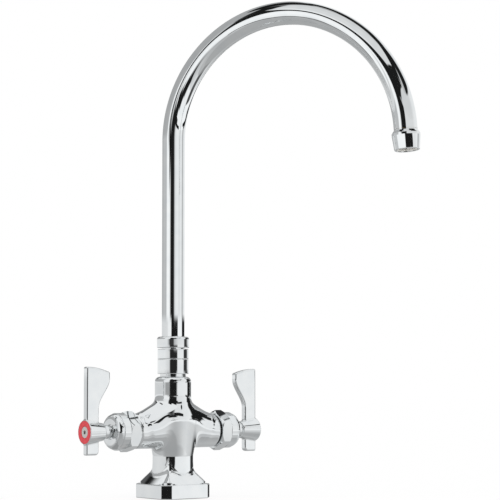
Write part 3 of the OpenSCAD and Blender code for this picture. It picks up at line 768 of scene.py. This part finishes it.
def at_tip():
    """Puts local z at the end of the last bend, pointing the way the water leaves."""
    out, height, turn = spout_path()[-1]
    heading = Matrix.Rotation(math.radians(turn), 4, "Y")
    return spout_plane() @ Matrix.Translation((out, 0, height)) @ heading


def drawn(mesh, edges, vector):
    """Extrudes a loop of edges along a vector and gives the new loop's points and edges."""
    made = bmesh.ops.extrude_edge_only(mesh, edges=edges)["geom"]
    verts = [g for g in made if isinstance(g, bmesh.types.BMVert)]
    bmesh.ops.translate(mesh, verts=verts, vec=vector)
    new_edges = [g for g in made if isinstance(g, bmesh.types.BMEdge)]
    return verts, [e for e in new_edges if all(v in verts for v in e.verts)]


def gooseneck_tube():
    """One tube: a circle drawn up the riser and spun round the three bends, outside and bore."""
    mesh = bmesh.new()
    path = spout_path()
    rims = []
    for radius in (TUBE_R, TUBE_R - TUBE_WALL):
        ring = bmesh.ops.create_circle(
            mesh, segments=TUBE_STEPS, radius=radius,
            matrix=Matrix.Translation((0, 0, TUBE_FOOT)))["verts"]
        edges = list({e for v in ring for e in v.link_edges})
        rims.append(edges)
        verts, edges = drawn(mesh, edges, (0, 0, RISER_TOP - TUBE_FOOT))
        for (out, height, turn), (r_bend, angle) in zip(path, BENDS):
            a = math.radians(turn)
            centre = (out + r_bend * math.cos(a), 0, height - r_bend * math.sin(a))
            made = bmesh.ops.spin(
                mesh, geom=verts + edges, axis=(0, 1, 0), cent=centre, angle=math.radians(angle),
                steps=BEND_STEPS)
            verts = [g for g in made["geom_last"] if isinstance(g, bmesh.types.BMVert)]
            edges = [g for g in made["geom_last"] if isinstance(g, bmesh.types.BMEdge)]
        heading = Matrix.Rotation(math.radians(path[-1][2]), 3, "Y") @ Vector((0, 0, TIP_LEN))
        rims.append(drawn(mesh, edges, heading)[1])
    bmesh.ops.bridge_loops(mesh, edges=rims[0] + rims[2])
    bmesh.ops.bridge_loops(mesh, edges=rims[1] + rims[3])
    tube = tidied(moved(mesh, spout_plane()))
    piece("gooseneck_bent_tube", tube, turned_chrome, "chrome", "spout", "gooseneck_tube", smooth=40)


def spout_fittings():
    """Adapter, nut and domed collar at the foot of the tube, and the shell at the outlet."""
    adapter = turned([
        (ADAPTER_WATER_R, ADAPTER_FOOT, 0), (ADAPTER_PLUG_R, ADAPTER_FOOT, 0.4),
        (ADAPTER_PLUG_R, NECK_TOP, 0), (ADAPTER_RIM_R, NECK_TOP, 0), (ADAPTER_RIM_R, ADAPTER_SHOULDER, 0),
        (COLLAR_R, ADAPTER_SHOULDER, 0.5), (COLLAR_R, ADAPTER_LEDGE, 0.5),
        (ADAPTER_THREAD_R, ADAPTER_LEDGE, 0), (ADAPTER_THREAD_R, ADAPTER_TOP, 0.3),
        (ADAPTER_BORE_R, ADAPTER_TOP, 0.3), (ADAPTER_BORE_R, ADAPTER_FLOOR, 0),
        (ADAPTER_WATER_R, ADAPTER_FLOOR, 0), (ADAPTER_WATER_R, ADAPTER_FOOT, 0)])
    piece("swivel_adapter_collar", adapter, turned_chrome, "chrome", "base", "swivel_adapter")
    roof = NUT_TOP - NUT_LIP
    nut = turned([
        (NUT_BORE_R, NUT_FOOT, 0), (COLLAR_R, NUT_FOOT, 0.5), (COLLAR_R, NUT_TOP, 0.5),
        (NUT_HOLE_R, NUT_TOP, 0), (NUT_HOLE_R, roof, 0), (NUT_BORE_R, roof, 0), (NUT_BORE_R, NUT_FOOT, 0)])
    piece("spout_clamp_nut", nut, turned_chrome, "chrome", "base", "spout_nut")
    collar = turned([
        (TRIM_BORE_R, TRIM_FOOT, 0), (TRIM_R, TRIM_FOOT, 0.6), (TRIM_R, TRIM_TOP, 2.2),
        (TRIM_BORE_R, TRIM_TOP, 0), (TRIM_BORE_R, TRIM_FOOT, 0)])
    piece("domed_trim_collar", collar, turned_chrome, "chrome", "spout", "trim_collar")
    top = SHELL_AT
    skirt = SHELL_AT - SHELL_SKIRT
    mouth = SHELL_AT + SHELL_LEN
    skirt_in, skirt_out = SHELL_SKIRT_R
    shell = turned([
        (skirt_in, skirt, 0), (skirt_out, skirt, 0), (skirt_out, top, 0), (SHELL_RIM_R, top, 0.1),
        (SHELL_WIDE_R - 0.3, top + 1.6, 0.6), (SHELL_WIDE_R, top + 2.2, 0.4), (SHELL_WIDE_R, top + 4, 0.8),
        (SHELL_MOUTH_R, mouth, 0.5), (SHELL_WATER_R, mouth, 0.3), (SHELL_WATER_R, mouth - 3, 0),
        (SHELL_BORE_R, mouth - 3, 0), (SHELL_BORE_R, top + 1, 0), (skirt_in, top + 1, 0),
        (skirt_in, skirt, 0)])
    piece("aerator_shell_turned", moved(shell, at_tip()), turned_chrome, "chrome", "spout", "aerator_shell")


# Studio: the sheets of light that the chrome mirrors are painted on the world and stay where they are

# Direction in plan, in degrees, of the zero of the sheets' angles: the photograph's side
FRONT = 128.3
DARK = 0.012
ROOM_LEVEL = 1.1
SHEET_TINT = "#FBFDFE"
# What the spout mirrors: rows of sheets as (lowest elevation, [(angle, brightness)]), in degrees
SPOUT_SHEETS = [
    (-90, [(-180, 0.42), (180, 0.42)]),
    (-46, [(-180, 0.42), (20, 0.5), (70, 0.5), (76, 0.3), (104, 0.3), (110, 0.55), (180, 0.5)]),
    (-38, [(-180, 0.42), (-66, 0.42), (-56, 0.95), (-24, 0.9), (-16, 0.45), (70, 0.8), (76, 0.1), (104, 0.1),
           (110, 0.8), (150, 0.4), (180, 0.4)]),
    (-26, [(-180, 0.42), (-84, 0.42), (-78, 0.95), (-20, 0.95), (-12, 0.6), (4, DARK), (27, DARK), (33, 0.9),
           (70, 0.95), (78, 0.05), (104, 0.1), (110, 0.95), (150, 0.4), (180, 0.4)]),
    (-15, [(-180, 0.5), (-88, 0.5), (-82, 1), (-8, 1), (-4, DARK), (22, DARK), (26, 0.95), (116, 1),
           (150, 0.9), (180, 0.4)]),
    (-6, [(-180, 0.6), (-88, 0.6), (-82, 1), (-17, 1), (-14, DARK), (14, DARK), (17, 0.95), (116, 1),
          (126, 0.03), (180, 0.1)]),
    (-1.5, [(-180, 0.7), (-58, 0.72), (-55, 0.98), (-21, 0.98), (-19, DARK), (26, DARK), (28, 0.95),
            (90, 0.95), (92, DARK), (180, DARK)]),
    (0.75, [(-180, 0.72), (-58, 0.76), (-50, 0.9), (-16, 0.95), (-14, DARK), (50, DARK), (52, 1), (103, 1),
            (106, DARK), (180, DARK)]),
    (2.9, [(-180, 0.38), (-100, 0.55), (-74, 0.52), (-65, 1), (-36, 1), (-23, DARK), (7, DARK), (20, 0.8),
           (43, 0.92), (66, 0.8), (92, 0.92), (108, 0.4), (126, 0.85), (180, 0.9)]),
    (10.8, [(-180, 0.4), (-68, 0.45), (-60, 1), (-26, 1), (-8, 0.75), (75, 0.75), (100, 0.85), (180, 0.9)]),
    (18, [(-180, 0.4), (-60, 0.42), (-54, 0.6), (-46, 0.9), (-20, 0.85), (-8, 0.7), (75, 0.7), (100, 0.85),
          (180, 0.9)]),
    (31, [(-180, 0.42), (-66, 0.42), (-48, 0.75), (30, 0.75), (40, 0.6), (58, 0.5), (63, DARK), (111, DARK),
          (118, 0.8), (180, 0.9)]),
    (50, [(-180, 0.42), (-70, 0.42), (-48, 0.75), (40, 0.75), (50, 0.6), (55, DARK), (132, DARK), (144, 0.4),
          (180, 0.9)]),
    (58, [(-180, 0.4), (-165, DARK), (-80, DARK), (-60, 0.7), (54, 0.7), (62, DARK), (180, DARK)]),
    (67, [(-180, DARK), (-78, DARK), (-60, 0.7), (56, 0.7), (70, DARK), (180, DARK)]),
    (84, [(-180, 0.4), (180, 0.4)])]
# Straight strips over the sheets, as (from, to, half width, brightness), each end as (angle, elevation)
SPOUT_STRIPS = [
    ((-50, 14.5), (-34, 14.5), 5, DARK), ((-41, 12), (-1, 13.5), 4.5, DARK),
    ((-41, 13.5), (-4, 25), 5, DARK), ((-8, 23), (34, 38), 5.5, DARK), ((34, 38), (80, 58), 6.5, DARK),
    ((-43, 13.5), (-55, 36), 3.5, DARK), ((-55, 36), (-72, 62), 5, DARK),
    ((-86, -12), (-66, -33), 2.5, 0.1), ((-66, -33), (-45, -42), 2.5, 0.1),
    ((-45, -42), (-20, -29), 2.5, 0.1)]
# What the body, the handles and the collars mirror
BODY_SHEETS = [
    (-90, [(-180, 0.3), (-60, 0.3), (-40, 0.42), (90, 0.42), (140, 0.5), (180, 0.45)]),
    (-38, [(-180, 0.42), (-40, 0.38), (30, 0.4), (60, 0.5), (120, 0.65), (180, 0.45)]),
    (-26, [(-180, 0.42), (-60, 0.5), (-40, 0.38), (22, 0.38), (45, 0.5), (60, 0.62), (80, 0.85), (110, 0.9),
           (180, 0.5)]),
    (-17, [(-180, 0.6), (-60, 0.7), (-42, 0.38), (15, 0.38), (40, 0.58), (56, 0.7), (75, 0.75), (116, 0.65),
           (128, 0.4), (138, 0.05), (150, 0.05), (165, 0.5), (180, 0.6)]),
    (-6, [(-180, 0.7), (-92, 0.76), (-38, 0.72), (-34, DARK), (14, DARK), (18, 0.9), (74, 0.92),
          (116, 1), (126, 0.03), (180, 0.05)]),
    (-1.5, [(-180, 0.7), (-50, 0.68), (-43, 0.36), (-20, 0.34), (-15, DARK), (24, DARK), (33, 0.88),
            (104, 0.92), (109, DARK), (148, DARK), (172, 0.6)]),
    (0.75, [(-180, 0.9), (-60, 0.86), (-24, 0.7), (-18, 0.02), (32, 0.02), (38, 0.9), (85, 0.9), (92, 0.03),
            (124, 0.05), (138, 0.8), (180, 0.9)]),
    (1.85, [(-180, 0.8), (-40, 0.82), (-27, 0.4), (-21, 0.04), (5, 0.04), (12, 0.5), (40, 0.8), (85, 0.85),
            (92, 0.05), (112, 0.05), (138, 0.9), (180, 0.9)]),
    (2.9, [(-180, 0.4), (-64, 0.42), (-56, 0.9), (-21, 0.9), (-16, DARK), (24, DARK), (29, 0.8), (98, 0.9),
           (104, DARK), (138, DARK), (150, 0.3), (180, 0.4)]),
    (19, [(-180, 0.35), (-150, 0.3), (-146, 0.1), (-138, 0.1), (-134, 0.4), (-64, 0.42), (-56, 0.85),
          (-22, 0.85), (-17, DARK), (32, DARK), (37, 0.8), (56, 0.8),
          (106, 0.9), (112, DARK), (135, DARK), (148, 0.35), (180, 0.4)]),
    (31, [(-180, 0.2), (-150, 0.2), (-147, DARK), (-138, DARK), (-134, 0.9), (-124, 0.9), (-118, 0.45),
          (-66, 0.5), (-48, 0.85), (-22, 0.85), (-17, DARK), (29, DARK), (33, 0.8),
          (100, 0.9), (140, 0.6), (180, 0.4)]),
    (46, [(-180, 0.88), (180, 0.88)])]
BODY_STRIPS = [
    ((-10, 20), (-4, 56), 7, DARK), ((-120, 60), (-85, 77), 3.5, DARK), ((30, 34), (60, 27), 5.2, DARK),
    ((108, 29), (128, 33), 3, DARK), ((149, 47), (161, 47), 3, 0.03),
    ((57, 39), (80, 47), 2.5, 0.03), ((113, 36), (126, 46.5), 2.5, DARK)]


def toward(angle, elevation):
    """The direction of a point on the sheets."""
    a = math.radians(angle - FRONT)
    e = math.radians(elevation)
    return Vector((math.cos(e) * math.cos(a), math.cos(e) * math.sin(a), math.sin(e)))


def angle_in_room(tree, direction):
    """The angle of a direction round the room, as 0 to 1."""
    turn = (0, 0, math.radians(FRONT))
    mapped = add(tree, "ShaderNodeMapping", {}, {"Vector": direction, "Rotation": turn})
    around = add(tree, "ShaderNodeTexGradient", {"gradient_type": "RADIAL"}, {"Vector": mapped.outputs[0]})
    return around.outputs["Fac"]


def rise(tree, value, low, high):
    """0 below low, 1 above high."""
    made = add(tree, "ShaderNodeMapRange", {}, {"Value": value, "From Min": low, "From Max": high})
    return made.outputs[0]


def strip_mask(tree, direction, start, end, half):
    """1 inside a straight strip between two points of the sheets."""
    a = toward(*start)
    b = toward(*end)
    across = a.cross(b).normalized()
    edge = math.sin(math.radians(half))
    soft = 0.008
    inside = None
    for plane, low in ((across, -edge), (-across, -edge), (across.cross(a), 0), (b.cross(across), 0)):
        side = add(tree, "ShaderNodeVectorMath", {"operation": "DOT_PRODUCT"}, {0: direction, 1: plane})
        part = rise(tree, side.outputs["Value"], low - soft, low + soft)
        if inside is None:
            inside = part
        else:
            both = add(tree, "ShaderNodeMath", {"operation": "MULTIPLY"}, {0: inside, 1: part})
            inside = both.outputs[0]
    return inside


def light_sheets(tree, direction, sheets, strips):
    """The brightness of the sheets in a direction: row above row, then the strips."""
    angle = angle_in_room(tree, direction)
    up = add(tree, "ShaderNodeSeparateXYZ", {}, {0: direction}).outputs["Z"]
    whole = None
    for lowest, stops in sheets:
        row = ramp(tree, angle, [((degrees + 180) / 360, level) for degrees, level in stops])
        if whole is None:
            whole = row
            continue
        # Rows near the horizon have sharp edges: the upright tube spreads a few degrees over its height
        soft = 0.15 if abs(lowest) < 5 else 0.8
        low = math.sin(math.radians(lowest - soft))
        high = math.sin(math.radians(lowest + soft))
        above = rise(tree, up, low, high)
        whole = add(tree, "ShaderNodeMixRGB", {}, {0: above, 1: whole, 2: row}).outputs[0]
    for start, end, half, level in strips:
        inside = strip_mask(tree, direction, start, end, half)
        grey = (level, level, level, 1)
        whole = add(tree, "ShaderNodeMixRGB", {}, {0: inside, 1: whole, 2: grey}).outputs[0]
    return whole


def studio_world():
    """World: white to the camera, soft white light on dull surfaces, the sheets in the chrome.

    A mirrored ray that has passed one clear wall comes from the spout, inside its clear box.
    """
    world = bpy.data.worlds.new("studio")
    bpy.context.scene.world = world
    world.use_nodes = True
    tree = world.node_tree
    tree.nodes.clear()
    direction = add(tree, "ShaderNodeTexCoord").outputs["Generated"]
    path = add(tree, "ShaderNodeLightPath")
    from_spout = add(tree, "ShaderNodeMath", {"operation": "COMPARE"}, {
        0: path.outputs["Transparent Depth"], 1: 1.0, 2: 0.5})
    sheets = add(tree, "ShaderNodeMixRGB", {}, {
        0: from_spout.outputs[0], 1: light_sheets(tree, direction, BODY_SHEETS, BODY_STRIPS),
        2: light_sheets(tree, direction, SPOUT_SHEETS, SPOUT_STRIPS)})
    tinted = add(tree, "ShaderNodeMixRGB", {"blend_type": "MULTIPLY"}, {
        0: 1.0, 1: sheets.outputs[0], 2: linear(SHEET_TINT)})
    lit = add(tree, "ShaderNodeMixRGB", {}, {
        0: path.outputs["Is Glossy Ray"], 1: (ROOM_LEVEL, ROOM_LEVEL, ROOM_LEVEL, 1), 2: tinted.outputs[0]})
    seen = add(tree, "ShaderNodeMixRGB", {}, {
        0: path.outputs["Is Camera Ray"], 1: lit.outputs[0], 2: (1, 1, 1, 1)})
    glow = add(tree, "ShaderNodeBackground", {}, {"Color": seen.outputs[0], "Strength": 1.0})
    out = add(tree, "ShaderNodeOutputWorld")
    tree.links.new(glow.outputs[0], out.inputs["Surface"])


def stage_piece(name, mesh, build, *unseen_by):
    """A piece of the studio, with a shader from build and some kinds of ray that pass it by."""
    made = bpy.data.materials.new(name)
    made.use_nodes = True
    tree = made.node_tree
    tree.nodes.clear()
    out = add(tree, "ShaderNodeOutputMaterial")
    tree.links.new(build(tree), out.inputs["Surface"])
    standing = as_object(name, mesh)
    standing.data.materials.append(made)
    for kind in unseen_by:
        setattr(standing, f"visible_{kind}", False)


def table():
    """White table that keeps a soft shadow, and lets the chrome mirror the sheets below it."""
    glow_share = 0.88
    radius = 30

    def build(tree):
        path = add(tree, "ShaderNodeLightPath")
        paint = add(tree, "ShaderNodeBsdfDiffuse", {}, {"Color": (0.9, 0.9, 0.9, 1)})
        glow = add(tree, "ShaderNodeEmission", {}, {"Color": (1, 1, 1, 1), "Strength": 1.0})
        seen = add(tree, "ShaderNodeMixShader", {}, {0: glow_share, 1: paint.outputs[0], 2: glow.outputs[0]})
        return add(tree, "ShaderNodeMixShader", {}, {
            0: path.outputs["Is Camera Ray"], 1: paint.outputs[0], 2: seen.outputs[0]}).outputs[0]

    mesh = bmesh.new()
    bmesh.ops.create_circle(mesh, cap_ends=True, segments=64, radius=radius)
    stage_piece("table", mesh, build, "glossy")


def spout_box():
    """Clear box round the spout, met only by mirrored rays, so that the world knows the spout's rays."""
    mesh = bmesh.new()
    middle = (0.065, -0.11, 0.295)
    sides = (0.2, 0.3, 0.319, 1)
    bmesh.ops.create_cube(mesh, size=1, matrix=Matrix.Translation(middle) @ Matrix.Diagonal(sides))
    stage_piece(
        "clear_box", mesh, lambda tree: add(tree, "ShaderNodeBsdfTransparent").outputs[0],
        "camera", "diffuse", "transmission", "volume_scatter", "shadow")


def painted_reflection_screen():
    """Glowing grey screen round the parts under the deck, seen only by mirrored rays: a painted grey
    reflection where real chrome couldn't mirror those parts through the deck.
    """
    radius = 0.03
    foot = (0, 0, -0.053)
    top = (0, 0, -0.0005)
    mesh = cone(foot, top, radius, radius)
    # The screen's grey glow is a painted reflection, not a lamp: camera, dull surfaces and shadows pass it
    # by
    stage_piece(
        "painted_reflection_screen", mesh,
        lambda tree: add(tree, "ShaderNodeEmission", {}, {"Color": (0.42, 0.42, 0.42, 1)}).outputs[0],
        "camera", "diffuse", "transmission", "volume_scatter", "shadow")


def camera():
    """Nearly level camera at the photograph's side and distance: half tilt, half shift."""
    data = bpy.data.cameras.new("camera")
    data.lens = 108.8
    data.sensor_width = 36
    data.shift_y = 0.1445
    data.clip_end = 100
    made = bpy.data.objects.new("camera", data)
    made.location = (-0.7397, -1.0426, 0.0863)
    made.rotation_euler = (math.radians(92.75), 0, math.radians(-38.27))
    bpy.context.scene.collection.objects.link(made)
    bpy.context.scene.camera = made


finish_cad_nodes()
faucet_body()
for valve in ("hot", "cold"):
    bonnet(valve)
    handle(valve)
    index_ring(valve)
gooseneck_tube()
spout_fittings()
table()
spout_box()
painted_reflection_screen()
studio_world()
camera()
bpy.context.scene.view_settings.view_transform = "Standard"
